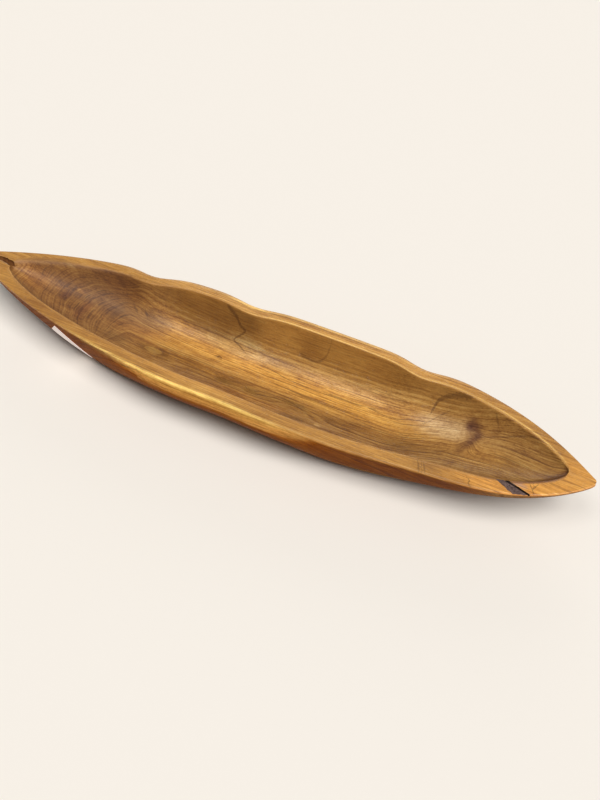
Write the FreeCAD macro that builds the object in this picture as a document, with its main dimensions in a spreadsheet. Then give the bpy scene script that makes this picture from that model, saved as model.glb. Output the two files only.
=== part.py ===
"""Canoe bowl: a long dish carved from one half log, as a parametric FreeCAD document.

+X runs along the bowl to its narrow, marked end, +Y to the lobed long side, and +Z up.
The origin is at the middle of the flat foot. The hull and the hollow are lofts through
cross-sections. The sizes of every section are expressions of the cells of the sheet.
"""
import FreeCAD, Part
import math
import os

import Sketcher

SIZES = (
    ("length", 700),
    ("height", 60),
    # Half-breadths of the hull at its widest, measured from the long axis
    ("near_breadth", 72.4),
    ("far_breadth", 69.5),
    # Plan outline: a higher fullness keeps the breadth further towards that end,
    # and a lower roundness makes the tips blunter
    ("near_fullness_left", 2.2),
    ("near_fullness_right", 4.5),
    ("far_fullness_left", 2.9),
    ("far_fullness_right", 4.3),
    ("near_roundness", 0.81),
    ("far_roundness", 1.06),
    ("tip_breadth", 1.8),
    # Three scallops in the far side and two shallow ones in the near side
    ("far_scallop_place_1", -153),
    ("far_scallop_depth_1", 7.4),
    ("far_scallop_run_1", 24.5),
    ("far_scallop_place_2", -33),
    ("far_scallop_depth_2", 5.8),
    ("far_scallop_run_2", 27),
    ("far_scallop_place_3", 160),
    ("far_scallop_depth_3", 6.4),
    ("far_scallop_run_3", 24),
    ("near_scallop_place_1", -2),
    ("near_scallop_depth_1", 1.8),
    ("near_scallop_run_1", 36),
    ("near_scallop_place_2", 206),
    ("near_scallop_depth_2", 5.6),
    ("near_scallop_run_2", 64),
    # Underside: the keel is straight in the middle and sweeps up to each tip
    ("keel_sag", 7),
    ("straight_keel_left", 145),
    ("straight_keel_right", 103),
    ("keel_sweep", 1.45),
    ("tip_depth", 6),
    ("side_flare", 16),
    ("bilge_fullness", 0.76),
    # The near wall swells out below the rim around its middle, as the log did:
    # outwards, upwards, and the share by which the bilge is tucked in under it
    ("swell_place", -14),
    ("swell_reach", 112),
    ("swell_out", 36),
    ("swell_rise", 41),
    ("swell_tuck", 0.15),
    # Rim: a flat land with an outer shoulder, crisp on the near side and rolled on the far one
    ("near_rim", 12.2),
    ("far_rim", 13),
    ("near_shoulder_width", 2.2),
    ("near_shoulder_drop", 1.5),
    ("far_shoulder_width", 5.5),
    ("far_shoulder_drop", 3),
    # Hollow
    ("floor_thickness", 13),
    ("end_wood_left", 44),
    ("end_wood_right", 25.5),
    ("hollow_near_fullness_left", 2.1),
    ("hollow_near_fullness_right", 3.5),
    ("hollow_far_fullness_left", 2.7),
    ("hollow_far_fullness_right", 3.7),
    ("hollow_near_roundness", 0.56),
    ("hollow_far_roundness", 0.76),
    ("hollow_end_breadth_left", 2),
    ("hollow_end_breadth_right", 1.5),
    ("hollow_end_depth_left", 6),
    ("hollow_end_depth_right", 2),
    ("hollow_run_left", 2.6),
    ("hollow_run_right", 3.2),
    ("wall_lean", 9),
    ("hollow_fullness", 0.72),
    # The hollow opens like a spoon towards its ends: less full at the floor, and more lean
    ("hollow_easing_left", 0.3),
    ("hollow_easing_right", 0.22),
    ("hollow_leaning_left", 0.2),
    ("hollow_leaning_right", 0.15),
    # Split in the left tip, which opens into the hollow
    ("split_offset", 0.8),
    ("split_drift", 1.5),
    ("split_width", 7.6),
    ("split_tip_gap", 5),
    ("split_depth", 5),
    # Bark pocket across the near rim, and the crack along its right edge.
    # Their left corners are measured back from the right tip and across from the long axis,
    # and their widths along the bowl.
    ("bark_inner_back", 92),
    ("bark_inner_across", 33),
    ("bark_inner_width", 15),
    ("bark_outer_back", 52),
    ("bark_outer_across", 52),
    ("bark_outer_width", 46),
    ("bark_depth", 0.8),
    ("crack_inner_back", 77.5),
    ("crack_inner_across", 34),
    ("crack_inner_width", 4.5),
    ("crack_outer_back", 42),
    ("crack_outer_across", 44),
    ("crack_outer_width", 5.5),
    ("crack_depth", 4),
)

HULL_STATIONS = 33
HOLLOW_STATIONS = 31
# Share of the sine in the spacing of the stations, which packs them towards the ends
END_PACKING = 0.7
# Decimal places that the stations' shares are rounded to
SHARE_PLACES = 5
# How far the cutting shapes stand out of the wood
OVERCUT = 5
# Longitudinal strakes that each side of a section is drawn with
WALL_STRAKES = 11
SHOULDER_STRAKES = 3
HOLLOW_STRAKES = 11
# Poles of the shoulder's curve, as shares of its width and drop
ROLL_WIDTH = 0.12
ROLL_DROP = 0.3
EASE_WIDTH = 0.5
# Power of the share at which the scallops fade out towards the tips
SCALLOP_FADING = 6
# Power of the distance at which the near wall's swell fades out towards its ends
SWELL_FADING = 4
# A circle of corners that an outline starts from before its corners follow the sizes
START_RADIUS = 50
START_HEIGHT = 30

FAR_SCALLOPS = (1, 2, 3)
NEAR_SCALLOPS = (1, 2)


def make_sheet(document):
    sheet = document.addObject("Spreadsheet::Sheet", "Sizes")
    for row, (name, value) in enumerate(SIZES, start=1):
        sheet.set(f"A{row}", name)
        sheet.set(f"B{row}", str(value))
        sheet.setAlias(f"B{row}", name)
    document.recompute()
    return sheet


def origin_plane(body, role):
    return next(plane for plane in body.Origin.OriginFeatures if plane.Role == role)


def size(name):
    return f"Sizes.{name}"


def station_shares(count):
    """Places from -1 to 1, closer together towards both ends."""
    shares = []
    for index in range(count):
        even = 2 * index / (count - 1) - 1
        bent = math.sin(math.pi / 2 * even)
        shares.append(round((1 - END_PACKING) * even + END_PACKING * bent, SHARE_PLACES))
    return shares


def taper(share, fullness, roundness):
    """Expression of the breadth left at a share of the half-length, from 1 down to 0."""
    return f"(1 - {abs(share)} ^ {size(fullness)}) ^ {size(roundness)}"


def end_of(share):
    return "left" if share < 0 else "right"


def scallops(side, numbers, place):
    """Expression of how deep the scallops of one side are at a place along the bowl."""
    terms = []
    for number in numbers:
        name = f"{side}_scallop"
        distance = f"(({place} - {size(f'{name}_place_{number}')}) / {size(f'{name}_run_{number}')})"
        terms.append(f"{size(f'{name}_depth_{number}')} / exp({distance} ^ 2)")
    return "(" + " + ".join(terms) + ")"


def add_number(sketch, name, expression):
    sketch.addProperty("App::PropertyFloat", name, "Section")
    sketch.setExpression(name, expression)
    return name


def curve_points(poles, strakes):
    """Points of a cubic curve by its four poles, evenly spread in the curve's own parameter."""
    points = []
    for step in range(strakes + 1):
        part = step / strakes
        rest = 1 - part
        weights = (rest ** 3, 3 * part * rest ** 2, 3 * part ** 2 * rest, part ** 3)
        across = " + ".join(f"{weight:.6f} * {pole[0]}" for weight, pole in zip(weights, poles))
        up = " + ".join(f"{weight:.6f} * {pole[1]}" for weight, pole in zip(weights, poles))
        points.append((across, up))
    return points


def mirrored(points):
    return [(f"-1 * ({across})", up) for across, up in points]


def draw_outline(sketch, corners):
    """Draws a closed outline of straight edges whose corners follow pairs of expressions."""
    count = len(corners)
    spots = []
    for index in range(count):
        angle = 2 * math.pi * index / count
        across = START_RADIUS * math.sin(angle)
        up = START_HEIGHT - START_RADIUS * math.cos(angle)
        spots.append(FreeCAD.Vector(across, up, 0))
    edges = [Part.LineSegment(spots[index - 1], spots[index]) for index in range(count)]
    sketch.addGeometry(edges)
    constraints = []
    for index in range(count):
        following = (index + 1) % count
        constraints.append(Sketcher.Constraint("Coincident", index, 2, following, 1))
        constraints.append(Sketcher.Constraint("DistanceX", -1, 1, index, 2, spots[index].x))
        constraints.append(Sketcher.Constraint("DistanceY", -1, 1, index, 2, spots[index].y))
    sketch.addConstraint(constraints)
    for index, (across, up) in enumerate(corners):
        sketch.setExpression(f"Constraints[{3 * index + 1}]", across)
        sketch.setExpression(f"Constraints[{3 * index + 2}]", up)


def section_sketch(body, name, place):
    sketch = body.newObject("Sketcher::SketchObject", name)
    sketch.AttachmentSupport = [(origin_plane(body, "YZ_Plane"), "")]
    sketch.MapMode = "FlatFace"
    sketch.setExpression("AttachmentOffset.Base.z", place)
    return sketch


def hull_section(body, index, share):
    """One cross-section of the carved log before it is hollowed: round below, with a flat top."""
    place = f"({size('length')} / 2 * {share})"
    sketch = section_sketch(body, f"HullSection{index:02d}", place)
    end = end_of(share)
    run = f"({size('length')} / 2 - {size(f'straight_keel_{end}')})"
    swept = f"max(0; abs({place}) - {size(f'straight_keel_{end}')}) / {run}"
    rise = f"({size('height')} - {size('tip_depth')} + {size('keel_sag')})"
    add_number(sketch, "Keel", f"{rise} * ({swept}) ^ {size('keel_sweep')} - {size('keel_sag')}")
    add_number(sketch, "Top", size("height"))
    swell_share = f"(({place} - {size('swell_place')}) / {size('swell_reach')})"
    swells = {"Near": add_number(sketch, "Swell", f"1 / exp({swell_share} ^ {SWELL_FADING})"), "Far": "0"}
    halves = {}
    for side, numbers in (("Near", NEAR_SCALLOPS), ("Far", FAR_SCALLOPS)):
        key = side.lower()
        narrowing = taper(share, f"{key}_fullness_{end}", f"{key}_roundness")
        full = f"({size(f'{key}_breadth')} - {size('tip_breadth')})"
        fading = f"(1 - {abs(share)} ^ {SCALLOP_FADING})"
        hollows = scallops(key, numbers, place)
        breadth = add_number(
            sketch, side, f"{size('tip_breadth')} + {full} * {narrowing} - {hollows} * {fading}"
        )
        portion = f"{breadth} / {size(f'{key}_breadth')}"
        swell = swells[side]
        drop = size(f"{key}_shoulder_drop")
        width = f"{size(f'{key}_shoulder_width')} * {portion}"
        edge = add_number(sketch, f"{side}Edge", f"Top - {drop}")
        bulging = f"{size('swell_out')} * {swell}"
        flared = add_number(
            sketch, f"{side}Flare", f"{breadth} - {size('side_flare')} * {portion} + {bulging}"
        )
        hanging = f"{edge} - {size('bilge_fullness')} * ({edge} - Keel)"
        level = add_number(sketch, f"{side}Level", f"{hanging} + {size('swell_rise')} * {swell}")
        fullness = f"({size('bilge_fullness')} - {size('swell_tuck')} * {swell})"
        bilge = add_number(sketch, f"{side}Bilge", f"{breadth} * {fullness}")
        rolled = add_number(sketch, f"{side}Rolled", f"{breadth} - {ROLL_WIDTH} * {width}")
        rolled_up = add_number(sketch, f"{side}RolledUp", f"Top - {ROLL_DROP} * {drop}")
        easing = add_number(sketch, f"{side}Easing", f"{breadth} - {EASE_WIDTH} * {width}")
        land = add_number(sketch, f"{side}Land", f"{breadth} - {width}")
        arris = (breadth, edge)
        wall = (("0", "Keel"), (bilge, "Keel"), (flared, level), arris)
        shoulder = (arris, (rolled, rolled_up), (easing, "Top"), (land, "Top"))
        points = curve_points(wall, WALL_STRAKES) + curve_points(shoulder, SHOULDER_STRAKES)[1:]
        halves[side] = points
    draw_outline(sketch, halves["Far"] + mirrored(halves["Near"][:0:-1]))
    return sketch


def hollow_section(body, index, share):
    """One cross-section of the hollow, which stands out of the top by the overcut."""
    left = f"({size('end_wood_left')} - {size('length')} / 2)"
    right = f"({size('length')} / 2 - {size('end_wood_right')})"
    place = f"(({left} + {right}) / 2 + ({right} - {left}) / 2 * {share})"
    sketch = section_sketch(body, f"HollowSection{index:02d}", place)
    end = end_of(share)
    deepest = f"({size('height')} - {size('floor_thickness')})"
    shallow = size(f"hollow_end_depth_{end}")
    deepening = f"(1 - {abs(share)} ^ {size(f'hollow_run_{end}')})"
    add_number(sketch, "Depth", f"{shallow} + ({deepest} - {shallow}) * {deepening}")
    add_number(sketch, "Floor", f"{size('height')} - Depth")
    add_number(sketch, "Side", f"{size('height')} - {size('hollow_fullness')} * Depth")
    towards_end = round(share ** 2, SHARE_PLACES)
    easing = f"{size(f'hollow_easing_{end}')} * {towards_end}"
    leaning = f"{size(f'hollow_leaning_{end}')} * {towards_end}"
    add_number(sketch, "Top", f"{size('height')} + {OVERCUT}")
    end_breadth = size(f"hollow_end_breadth_{end}")
    halves = {}
    for side, numbers in (("Near", NEAR_SCALLOPS), ("Far", FAR_SCALLOPS)):
        key = side.lower()
        narrowing = taper(share, f"hollow_{key}_fullness_{end}", f"hollow_{key}_roundness")
        full = f"({size(f'{key}_breadth')} - {size(f'{key}_rim')} - {end_breadth})"
        waves = scallops(key, numbers, place)
        breadth = add_number(sketch, side, f"{end_breadth} + ({full} - {waves}) * {narrowing}")
        lean = f"({size('wall_lean')} / {size(f'{key}_breadth')} + {leaning})"
        leaned = add_number(sketch, f"{side}Lean", f"{breadth} * (1 - {lean})")
        fullness = f"({size('hollow_fullness')} - {easing})"
        bilge = add_number(sketch, f"{side}Bilge", f"{breadth} * {fullness}")
        wall = (("0", "Floor"), (bilge, "Floor"), (leaned, "Side"), (breadth, "Top"))
        halves[side] = curve_points(wall, HOLLOW_STRAKES)
    draw_outline(sketch, halves["Far"] + mirrored(halves["Near"][:0:-1]))
    return sketch


def add_loft(body, kind, name, sections):
    loft = body.newObject(kind, name)
    loft.Profile = sections[0]
    loft.Sections = sections[1:]
    loft.Ruled = False
    for sketch in sections:
        sketch.Visibility = False
    return loft


def cut_down(body, name, corners, height, depth):
    """Cuts an outline, given at a height, down into the wood."""
    sketch = body.newObject("Sketcher::SketchObject", f"{name}Outline")
    sketch.AttachmentSupport = [(origin_plane(body, "XY_Plane"), "")]
    sketch.MapMode = "FlatFace"
    sketch.setExpression("AttachmentOffset.Base.z", height)
    draw_outline(sketch, corners)
    sketch.Visibility = False
    pocket = body.newObject("PartDesign::Pocket", name)
    pocket.Profile = sketch
    pocket.setExpression("Length", depth)
    return pocket


def flatten_foot(body):
    """Planes the round bottom off level, which leaves the flat foot at height zero."""
    right = f"({size('length')} / 2 + {OVERCUT})"
    left = f"-1 * {right}"
    near = f"-1 * ({size('near_breadth')} + {OVERCUT})"
    far = f"{size('far_breadth')} + {OVERCUT}"
    corners = ((left, near), (right, near), (right, far), (left, far))
    return cut_down(body, "Foot", corners, "0", f"{size('keel_sag')} + {OVERCUT}")


def open_split(body):
    """Cuts the wedge-shaped split that runs from the hollow towards the left tip."""
    hollow = f"({size('end_wood_left')} + {OVERCUT} - {size('length')} / 2)"
    tip = f"({size('split_tip_gap')} - {size('length')} / 2)"
    middle = size("split_offset")
    half = f"{size('split_width')} / 2"
    corners = (
        (hollow, f"{middle} - {half}"),
        (hollow, f"{middle} + {half}"),
        (tip, f"{middle} + {size('split_drift')}"),
    )
    return cut_down(body, "Split", corners, size("height"), size("split_depth"))


def open_flaw(body, flaw):
    """Cuts one flaw as a straight band across the near rim."""
    inner_along = f"({size('length')} / 2 - {size(f'{flaw}_inner_back')})"
    outer_along = f"({size('length')} / 2 - {size(f'{flaw}_outer_back')})"
    inner_across = f"(-1 * {size(f'{flaw}_inner_across')})"
    outer_across = f"(-1 * {size(f'{flaw}_outer_across')})"
    corners = (
        (inner_along, inner_across),
        (f"{inner_along} + {size(f'{flaw}_inner_width')}", inner_across),
        (f"{outer_along} + {size(f'{flaw}_outer_width')}", outer_across),
        (outer_along, outer_across),
    )
    return cut_down(body, flaw.capitalize(), corners, size("height"), size(f"{flaw}_depth"))


def check_shapes(document, body):
    for thing in document.Objects:
        if "Invalid" in thing.State or "Error" in thing.State:
            raise RuntimeError(f"{thing.Name} failed: {thing.State}")
    if body.Shape.isNull() or not body.Shape.isValid() or len(body.Shape.Solids) != 1:
        raise RuntimeError("The bowl isn't one valid solid")


def main():
    document = FreeCAD.newDocument("CanoeBowl")
    make_sheet(document)
    body = document.addObject("PartDesign::Body", "Bowl")
    body.Label = "bowl"
    body.Placement = FreeCAD.Placement()
    hull_shares = station_shares(HULL_STATIONS)
    hull = [hull_section(body, index, share) for index, share in enumerate(hull_shares)]
    add_loft(body, "PartDesign::AdditiveLoft", "Hull", hull)
    hollow_shares = station_shares(HOLLOW_STATIONS)
    hollow = [hollow_section(body, index, share) for index, share in enumerate(hollow_shares)]
    add_loft(body, "PartDesign::SubtractiveLoft", "Hollow", hollow)
    flatten_foot(body)
    open_split(body)
    open_flaw(body, "bark")
    open_flaw(body, "crack")
    document.recompute()
    check_shapes(document, body)
    os.makedirs("parts", exist_ok=True)
    body.Shape.exportStep(f"parts/{body.Label}.step")


main()
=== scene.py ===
"""Looks of the canoe bowl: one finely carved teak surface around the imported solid.

Lengths in the tables are millimetres in the part's own frame, and the meshes are in metres.
"""

import math

import bmesh
import bpy
import numpy as np
from mathutils import Matrix, Vector


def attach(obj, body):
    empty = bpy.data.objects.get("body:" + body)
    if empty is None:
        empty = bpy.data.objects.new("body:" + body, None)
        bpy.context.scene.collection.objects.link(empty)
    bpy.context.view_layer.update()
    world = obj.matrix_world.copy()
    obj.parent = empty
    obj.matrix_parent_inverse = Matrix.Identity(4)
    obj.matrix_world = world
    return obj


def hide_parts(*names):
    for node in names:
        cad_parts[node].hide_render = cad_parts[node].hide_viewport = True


MM = 0.001

# Sizes of the bowl, as in the part's own sheet
LENGTH = 700
HEIGHT = 60
HALF = LENGTH / 2
BREADTH = {"near": 72.4, "far": 69.5}
HULL_FULLNESS = {"near": (2.2, 4.5), "far": (2.9, 4.3)}
HULL_ROUNDNESS = {"near": 0.81, "far": 1.06}
TIP_BREADTH = 1.8
# Scallops of each side: place, depth, run
SCALLOPS = {
    "far": ((-153, 7.4, 24.5), (-33, 5.8, 27), (160, 6.4, 24)),
    "near": ((-2, 1.8, 36), (206, 5.6, 64)),
}
KEEL_SAG = 7
STRAIGHT_KEEL = (145, 103)
KEEL_SWEEP = 1.45
TIP_DEPTH = 6
SIDE_FLARE = 16
BILGE_FULLNESS = 0.76
RIM = {"near": 12.2, "far": 13}
SHOULDER_WIDTH = {"near": 2.2, "far": 5.5}
SHOULDER_DROP = {"near": 1.5, "far": 3}
FLOOR_THICKNESS = 13
END_WOOD = (44, 25.5)
HOLLOW_FULLNESS = {"near": (2.1, 3.5), "far": (2.7, 3.7)}
HOLLOW_ROUNDNESS = {"near": 0.56, "far": 0.76}
HOLLOW_END_BREADTH = (2, 1.5)
HOLLOW_END_DEPTH = (6, 2)
HOLLOW_RUN = (2.6, 3.2)
WALL_LEAN = 9
HOLLOW_BILGE = 0.72
# How the hollow opens like a spoon towards each end: bilge, and lean by the breadth
HOLLOW_EASING = (0.3, 0.22)
HOLLOW_LEANING = (0.2, 0.15)
OVERCUT = 5
# The near wall's swell: place, reach, outwards, upwards, and share off the bilge
SWELL = (-14, 112, 36, 41, 0.15)

# Edges softened by sanding, which the solid leaves sharp
TIP_ROUNDING = 1.6
HOLLOW_END_ROUNDING = (3.5, 1.6)
INNER_ROUNDING = 0.9
# What wear adds to the far rim's inner edge, and where it begins and is full
WORN_ROUNDING = 3.2
WORN_RUN = (-150, -215)
# Depth of the hollow down to which its edge is rounded less
SHALLOW = 8
SCALLOP_FADING = 6
# Poles of the shoulder's curve, as shares of its width and drop
ROLL_WIDTH = 0.12
ROLL_DROP = 0.3
EASE_WIDTH = 0.5


def by_end(along, pair):
    """The left or the right value of a pair, for each place along the bowl."""
    return np.where(along < 0, pair[0], pair[1])


def rounded_end(distance, reach):
    """Rises from 0 at an end to 1 past the reach, as a quarter of a circle does."""
    return np.sqrt(1 - (1 - np.clip(distance / reach, 0, 1)) ** 2)


def scallop_depth(side, along):
    return sum(deep * np.exp(-(((along - place) / run) ** 2)) for place, deep, run in SCALLOPS[side])


def hull_breadth(side, along):
    share = np.clip(np.abs(along) / HALF, 0, 1)
    full = BREADTH[side] - TIP_BREADTH
    narrowing = (1 - share ** by_end(along, HULL_FULLNESS[side])) ** HULL_ROUNDNESS[side]
    fading = 1 - share ** SCALLOP_FADING
    breadth = TIP_BREADTH + full * narrowing - scallop_depth(side, along) * fading
    return breadth * rounded_end(HALF - np.abs(along), TIP_ROUNDING)


def keel_height(along):
    straight = by_end(along, STRAIGHT_KEEL)
    swept = np.maximum(0, np.abs(along) - straight) / (HALF - straight)
    return (HEIGHT - TIP_DEPTH + KEEL_SAG) * swept ** KEEL_SWEEP - KEEL_SAG


HOLLOW_LEFT = END_WOOD[0] - HALF
HOLLOW_RIGHT = HALF - END_WOOD[1]
HOLLOW_MIDDLE = (HOLLOW_LEFT + HOLLOW_RIGHT) / 2


def hollow_share(along):
    """Place from -1 at the hollow's left end to 1 at its right, and how far from the middle."""
    share = (along - HOLLOW_MIDDLE) / (HOLLOW_RIGHT - HOLLOW_MIDDLE)
    return share, np.clip(np.abs(share), 0, 1)


def hollow_closing(along):
    """Falls from 1 to 0 round the ends of the hollow, and stays 0 beyond them."""
    left, right = HOLLOW_END_ROUNDING
    return rounded_end(along - HOLLOW_LEFT, left) * rounded_end(HOLLOW_RIGHT - along, right)


def hollow_breadth(side, along):
    share, within = hollow_share(along)
    end = by_end(share, HOLLOW_END_BREADTH)
    narrowing = (1 - within ** by_end(share, HOLLOW_FULLNESS[side])) ** HOLLOW_ROUNDNESS[side]
    full = BREADTH[side] - RIM[side] - end - scallop_depth(side, along)
    return (end + full * narrowing) * hollow_closing(along)


def hollow_depth(along):
    share, within = hollow_share(along)
    end = by_end(share, HOLLOW_END_DEPTH)
    deepest = HEIGHT - FLOOR_THICKNESS
    return (end + (deepest - end) * (1 - within ** by_end(share, HOLLOW_RUN))) * hollow_closing(along)


def cubic(poles, part):
    """Points of a cubic curve: poles are four (across, up) pairs."""
    rest = 1 - part
    weights = (rest ** 3, 3 * part * rest ** 2, 3 * part ** 2 * rest, part ** 3)
    across = sum(weight * pole[0] for weight, pole in zip(weights, poles))
    up = sum(weight * pole[1] for weight, pole in zip(weights, poles))
    return across, up


BISECTIONS = 40


def crossing(poles, level):
    """Parameter at which a rising cubic curve passes a level, for each station."""
    low = np.zeros_like(poles[3][0])
    high = np.ones_like(low)
    for _ in range(BISECTIONS):
        middle = (low + high) / 2
        above = cubic(poles, middle)[1] > level
        high = np.where(above, middle, high)
        low = np.where(above, low, middle)
    return (low + high) / 2


def smooth_step(low, high, value):
    part = np.clip((value - low) / (high - low), 0, 1)
    return part * part * (3 - 2 * part)


def plateau(value, middle, reach):
    """Close to 1 around a middle, and falls to 0 past the reach."""
    return np.exp(-(((value - middle) / reach) ** 4))


# Multipliers that scatter the bits
CELL_FACTORS = (374761393, 668265263, 2147483647)
SEED_FACTOR = 974634777
SCATTERING = ((13, 1274126177), (16, 2246822519))
LAST_SHIFT = 15
WORD = 0xFFFFFFFF


def lattice_value(cell, seed):
    """A fixed pseudo-random value from -1 to 1 for each cell of a lattice."""
    mixed = sum(cell[..., axis] * factor for axis, factor in enumerate(CELL_FACTORS)) + seed * SEED_FACTOR
    for shift, factor in SCATTERING:
        mixed = (mixed ^ (mixed >> shift)) * factor & WORD
    return (mixed ^ (mixed >> LAST_SHIFT)) / WORD * 2 - 1


def noise(points, cell_size, seed):
    """Smooth noise from -1 to 1 with cells of the given size along each axis."""
    places = np.asarray(points, float) / np.asarray(cell_size, float)
    cells = np.floor(places).astype(np.int64)
    part = places - cells
    part = part * part * (3 - 2 * part)
    total = 0
    for corner in range(8):
        step = np.array([corner & 1, corner >> 1 & 1, corner >> 2 & 1])
        weight = np.prod(np.where(step, part, 1 - part), axis=-1)
        total = total + weight * lattice_value(cells + step, seed)
    return total


def layered_noise(points, layers):
    """Sum of noises, each given by its height, its cell sizes and its seed."""
    return sum(height * noise(points, cell_size, seed) for height, cell_size, seed in layers)


STATIONS = 500
# Steps at each end, and of each part of a half-section
END_STEPS = 6
FOOT_STEPS = 3
WALL_STEPS = 24
SHOULDER_STEPS = 6
LAND_STEPS = 6
ROUNDING_STEPS = 3
HOLLOW_STEPS = 40


def station_places():
    """Places of the cross-sections, closer together at the tips and the ends of the hollow."""
    places = list(np.linspace(-HALF, HALF, STATIONS))
    for end, inward, reach in (
        (-HALF, 1, TIP_ROUNDING),
        (HALF, -1, TIP_ROUNDING),
        (HOLLOW_LEFT, 1, HOLLOW_END_ROUNDING[0]),
        (HOLLOW_RIGHT, -1, HOLLOW_END_ROUNDING[1]),
    ):
        places = [place for place in places if not 0 <= (place - end) * inward <= reach]
        for step in range(END_STEPS + 1):
            turn = math.pi / 2 * step / END_STEPS
            places.append(end + inward * reach * (1 - math.cos(turn)))
    return np.array(sorted(places))


def wall_poles(side, along):
    """Poles of the outer wall, from the keel to the arris under the shoulder."""
    breadth = hull_breadth(side, along)
    portion = breadth / BREADTH[side]
    keel = keel_height(along)
    arris = HEIGHT - SHOULDER_DROP[side]
    place, reach, outwards, upwards, tuck = SWELL
    swell = (side == "near") * plateau(along, place, reach)
    return (
        (0 * along, keel),
        (breadth * (BILGE_FULLNESS - tuck * swell), keel),
        (
            breadth - SIDE_FLARE * portion + outwards * swell,
            arris - BILGE_FULLNESS * (arris - keel) + upwards * swell,
        ),
        (breadth, arris + 0 * along),
    )


def shoulder_poles(side, along):
    """Poles of the rim's outer shoulder, which narrows with the bowl."""
    breadth = hull_breadth(side, along)
    width = SHOULDER_WIDTH[side] * (breadth / BREADTH[side])
    drop = SHOULDER_DROP[side] + 0 * along
    top = HEIGHT + 0 * along
    return (
        (breadth, HEIGHT - drop),
        (breadth - ROLL_WIDTH * width, HEIGHT - ROLL_DROP * drop),
        (breadth - EASE_WIDTH * width, top),
        (breadth - width, top),
    )


def hollow_poles(side, along):
    """Poles of the hollow's wall, from the middle of its floor to above the rim."""
    breadth = hollow_breadth(side, along)
    depth = hollow_depth(along)
    share, within = hollow_share(along)
    bilge = HOLLOW_BILGE - within ** 2 * by_end(share, HOLLOW_EASING)
    lean = breadth * (WALL_LEAN / BREADTH[side] + within ** 2 * by_end(share, HOLLOW_LEANING))
    return (
        (0 * along, HEIGHT - depth),
        (bilge * breadth, HEIGHT - depth),
        (breadth - lean, HEIGHT - HOLLOW_BILGE * depth),
        (breadth, HEIGHT + OVERCUT * hollow_closing(along)),
    )


def edge_rounding(side, along):
    """How far the rim's inner edge is rounded off, which is most where it is worn."""
    wear_and_highlight = (side == "far") * WORN_ROUNDING * smooth_step(*WORN_RUN, along)
    rounding = (INNER_ROUNDING + wear_and_highlight) * hollow_closing(along)
    return rounding * np.minimum(1, hollow_depth(along) / SHALLOW)


def shares(count):
    """Even shares up to 1, without 0."""
    return [step / count for step in range(1, count + 1)]


def half_section(side, along):
    """Rows of (across, up) arrays from the keel, round the outside and over the rim, to the floor."""
    wall = wall_poles(side, along)
    foot = np.where(keel_height(along) < 0, crossing(wall, 0), 0)
    outside = [cubic(wall, foot * part) for part in [0] + shares(FOOT_STEPS)]
    outside += [cubic(wall, foot + (1 - foot) * part) for part in shares(WALL_STEPS)]
    rows = [(across, np.maximum(up, 0)) for across, up in outside]
    shoulder = shoulder_poles(side, along)
    rows += [cubic(shoulder, part) for part in shares(SHOULDER_STEPS)]
    carved = hollow_poles(side, along)
    edge = cubic(carved, crossing(carved, HEIGHT))[0]
    rounding = edge_rounding(side, along)
    wall_top = crossing(carved, HEIGHT - rounding)
    start = cubic(carved, wall_top)
    land = edge + rounding
    for part in shares(LAND_STEPS):
        rows.append((shoulder[3][0] * (1 - part) + land * part, HEIGHT + 0 * along))
    for part in shares(ROUNDING_STEPS):
        rest = 1 - part
        across = rest ** 2 * land + 2 * rest * part * edge + part ** 2 * start[0]
        up = rest ** 2 * HEIGHT + 2 * rest * part * HEIGHT + part ** 2 * start[1]
        rows.append((across, up))
    inside = [cubic(carved, wall_top * (1 - part)) for part in shares(HOLLOW_STEPS)]
    return rows + [(across, np.minimum(up, HEIGHT)) for across, up in inside]


def new_object(name, data):
    piece = bpy.data.objects.new(name, data)
    bpy.context.scene.collection.objects.link(piece)
    return piece


def mesh_object(name, points, faces, material):
    """A new object from points in millimetres."""
    mesh = bpy.data.meshes.new(name)
    mesh.from_pydata([tuple(point) for point in np.array(points) * MM], [], faces)
    mesh.materials.append(material)
    return new_object(name, mesh)


# Metres below which points are joined and edges dropped
JOINED = 2e-6
DROPPED = 1e-6
# Angle in degrees above which an edge stays crisp
CREASE_ANGLE = 38


def face_outwards(mesh, joined=False):
    """Turns all faces of a mesh outwards, after joining points that lie together."""
    work = bmesh.new()
    work.from_mesh(mesh)
    if joined:
        bmesh.ops.remove_doubles(work, verts=work.verts, dist=JOINED)
        bmesh.ops.dissolve_degenerate(work, edges=work.edges, dist=DROPPED)
    bmesh.ops.recalc_face_normals(work, faces=work.faces)
    work.to_mesh(mesh)
    work.free()


def bowl_surface(material, outer_material):
    """The whole outer surface of the bowl as one closed mesh."""
    along = station_places()
    far = half_section("far", along)
    near = half_section("near", along)
    ring = far + [(-across, up) for across, up in near[-2:0:-1]]
    grid = np.stack([np.stack([along, across, up], -1) for across, up in ring], 1)
    count = grid.shape[1]
    grid[..., 2] += carving_waves(grid)
    faces = []
    for first in range(0, (len(along) - 1) * count, count):
        for index in range(count):
            here, following = first + index, first + (index + 1) % count
            faces.append((here, here + count, following + count, following))
    wall = FOOT_STEPS + WALL_STEPS
    piece = mesh_object("bowl_wood", grid.reshape(-1, 3), faces, material)
    piece.data.materials.append(outer_material)
    indices = [0 if wall <= number % count < count - wall else 1 for number in range(len(faces))]
    piece.data.polygons.foreach_set("material_index", indices)
    face_outwards(piece.data, True)
    return piece


# Unevenness of the carved hollow, and the depths that it comes in at
CARVING_NOISE = ((1, (48, 24, 400), 3), (0.5, (22, 14, 400), 4))
CARVING_HEIGHT = 0.45
CARVING_DEPTHS = (1, 14)


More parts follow.
